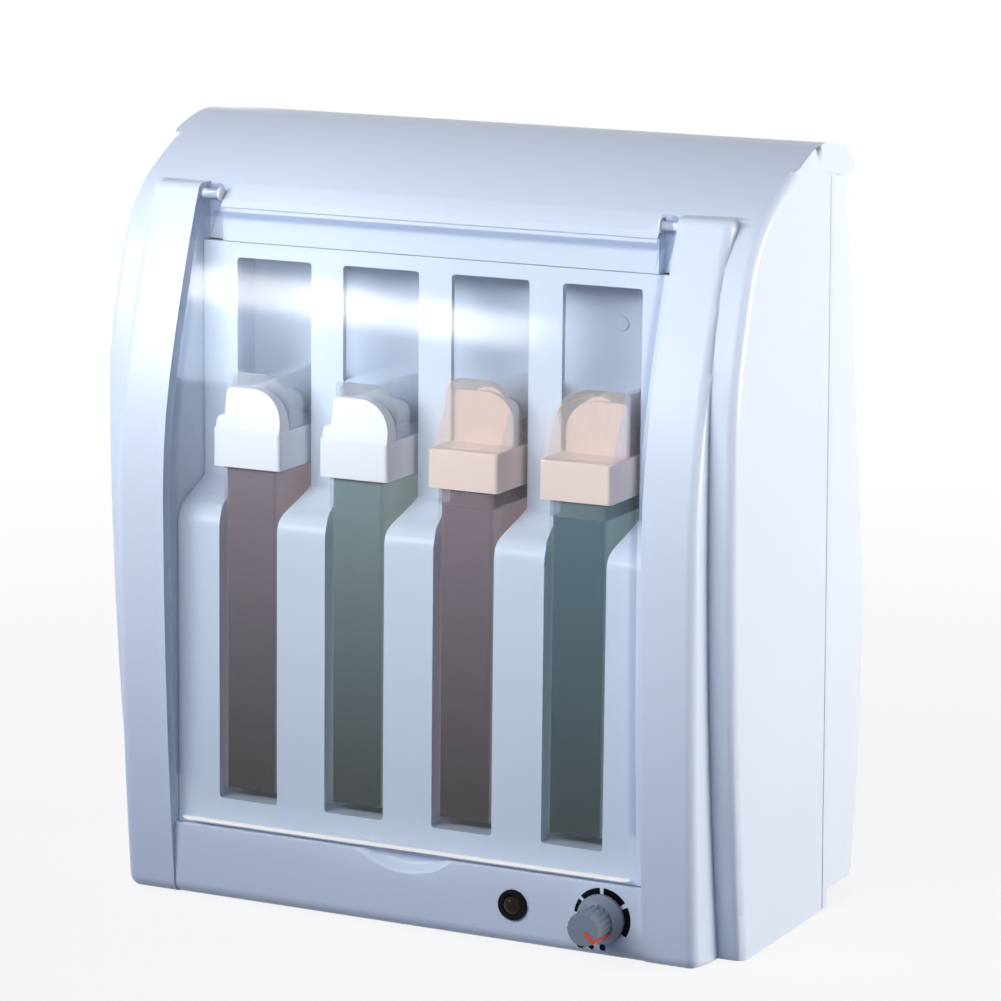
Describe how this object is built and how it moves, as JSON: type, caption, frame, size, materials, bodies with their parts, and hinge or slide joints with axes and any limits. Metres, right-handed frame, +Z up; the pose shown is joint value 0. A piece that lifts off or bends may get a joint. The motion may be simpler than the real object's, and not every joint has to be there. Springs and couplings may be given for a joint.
{
  "type": "roll-on wax heater",
  "caption": "Upright roll-on wax heater with open bays for roll-on cartridges behind a clear hinged door, a rotary heat knob and an indicator lamp.",
  "frame": {"origin": "under the middle of the whole object at table height, where the feet stand", "axes": "+X to the right of someone facing the door, +Y to the back, +Z up"},
  "size_m": [0.2594, 0.158, 0.2928],
  "materials": {
    "housing_white": "satin moulded ABS, bluish white",
    "panel_white": "smooth moulded ABS, bluish white",
    "cover_white": "lightly grained moulded ABS",
    "door_clear": "clear polished acrylic",
    "liner_aluminium": "satin rolled sheet",
    "well_aluminium": "bright rolled sheet",
    "pad_silicone": "orange silicone heating mat",
    "cutout_bakelite": "brown phenolic with steel tabs",
    "base_grey": "moulded ABS, light grey",
    "board_green": "solder-masked laminate",
    "board_parts_dark": "moulded electronic parts",
    "terminal_cream": "moulded nylon",
    "screw_steel": "zinc-plated steel",
    "nut_nickel": "nickel-plated brass",
    "foot_rubber": "dark elastomer",
    "gland_black": "moulded nylon, black",
    "control_metal": "pressed potentiometer can",
    "knob_grey": "moulded ABS, mid grey",
    "pointer_orange": "orange-red moulded insert",
    "lamp_red": "dark red transparent lens, unlit",
    "lamp_black": "black moulded bezel",
    "bottle_clear": "clear blow-moulded bottle",
    "wax_mauve": "warm translucent wax, mauve brown",
    "wax_slate": "warm translucent wax, slate",
    "wax_teal": "warm translucent wax, dark teal",
    "head_white": "moulded polypropylene, white",
    "head_peach": "moulded polypropylene, pale peach",
    "roller_white": "turned polypropylene, white",
    "roller_peach": "turned polypropylene, pale peach",
    "cap_clear": "clear polystyrene"
  },
  "bodies": {
    "housing": {"base_plate": "base_grey", "base_screws": "screw_steel", "bay_panel": "panel_white", "board_parts": "board_parts_dark", "control_board": "board_green", "cord_gland": "gland_black", "cover_screws": "screw_steel", "front_housing": "housing_white", "heated_chamber": "liner_aluminium", "heating_pad_1": "pad_silicone", "heating_pad_2": "pad_silicone", "heating_pad_3": "pad_silicone", "heating_pad_4": "pad_silicone", "hinge_pin_left": "housing_white", "hinge_pin_right": "housing_white", "lamp_holder": "lamp_black", "lamp_lens": "lamp_red", "potentiometer": "control_metal", "potentiometer_nut": "nut_nickel", "rear_cover": "cover_white", "rubber_feet": "foot_rubber", "terminal_block": "terminal_cream", "thermal_cutout": "cutout_bakelite", "warming_well_1": "well_aluminium", "warming_well_2": "well_aluminium", "warming_well_3": "well_aluminium", "warming_well_4": "well_aluminium"},
    "door": {"door_panel": "door_clear"},
    "control_knob": {"knob": "knob_grey", "knob_pointer": "pointer_orange", "knob_shaft": "control_metal"},
    "cartridge_1": {"bottle_1": "bottle_clear", "wax_1": "wax_mauve", "head_1": "head_white"},
    "roller_body_1": {"roller_1": "roller_white"},
    "cap_body_1": {"cap_1": "cap_clear"},
    "cartridge_2": {"bottle_2": "bottle_clear", "wax_2": "wax_slate", "head_2": "head_white"},
    "roller_body_2": {"roller_2": "roller_white"},
    "cap_body_2": {"cap_2": "cap_clear"},
    "cartridge_3": {"bottle_3": "bottle_clear", "wax_3": "wax_mauve", "head_3": "head_peach"},
    "roller_body_3": {"roller_3": "roller_peach"},
    "cap_body_3": {"cap_3": "cap_clear"},
    "cartridge_4": {"bottle_4": "bottle_clear", "wax_4": "wax_teal", "head_4": "head_peach"},
    "roller_body_4": {"roller_4": "roller_peach"},
    "cap_body_4": {"cap_4": "cap_clear"}
  },
  "joints": [
    {"name": "door_hinge", "type": "hinge", "parent": "housing", "child": "door", "pos_m": [0, -0.03855, 0.267], "axis": [-1, 0, 0], "range_deg": [0, 100]},
    {"name": "knob_turn", "type": "hinge", "parent": "housing", "child": "control_knob", "pos_m": [0.0816, -0.07075, 0.0158], "axis": [0, -1, 0], "range_deg": [0, 280]},
    {"name": "cartridge_1_lift", "type": "slide", "parent": "housing", "child": "cartridge_1", "axis": [0, 0, 1], "range_m": [0, 0.01]},
    {"name": "roller_1_spin", "type": "hinge", "parent": "cartridge_1", "child": "roller_body_1", "pos_m": [-0.0685, -0.03375, 0.1909], "axis": [0, 1, 0], "continuous": true},
    {"name": "cap_1_lift", "type": "slide", "parent": "cartridge_1", "child": "cap_body_1", "axis": [0, 0, 1], "range_m": [0, 0.016]},
    {"name": "cartridge_2_lift", "type": "slide", "parent": "housing", "child": "cartridge_2", "axis": [0, 0, 1], "range_m": [0, 0.01]},
    {"name": "roller_2_spin", "type": "hinge", "parent": "cartridge_2", "child": "roller_body_2", "pos_m": [-0.0235, -0.03375, 0.1909], "axis": [0, 1, 0], "continuous": true},
    {"name": "cap_2_lift", "type": "slide", "parent": "cartridge_2", "child": "cap_body_2", "axis": [0, 0, 1], "range_m": [0, 0.016]},
    {"name": "cartridge_3_lift", "type": "slide", "parent": "housing", "child": "cartridge_3", "axis": [0, 0, 1], "range_m": [0, 0.01]},
    {"name": "roller_3_spin", "type": "hinge", "parent": "cartridge_3", "child": "roller_body_3", "pos_m": [0.0225, -0.03375, 0.1954], "axis": [0, 1, 0], "continuous": true},
    {"name": "cap_3_lift", "type": "slide", "parent": "cartridge_3", "child": "cap_body_3", "axis": [0, 0, 1], "range_m": [0, 0.016]},
    {"name": "cartridge_4_lift", "type": "slide", "parent": "housing", "child": "cartridge_4", "axis": [0, 0, 1], "range_m": [0, 0.01]},
    {"name": "roller_4_spin", "type": "hinge", "parent": "cartridge_4", "child": "roller_body_4", "pos_m": [0.0675, -0.03375, 0.1954], "axis": [0, 1, 0], "continuous": true},
    {"name": "cap_4_lift", "type": "slide", "parent": "cartridge_4", "child": "cap_body_4", "axis": [0, 0, 1], "range_m": [0, 0.016]}
  ]
}
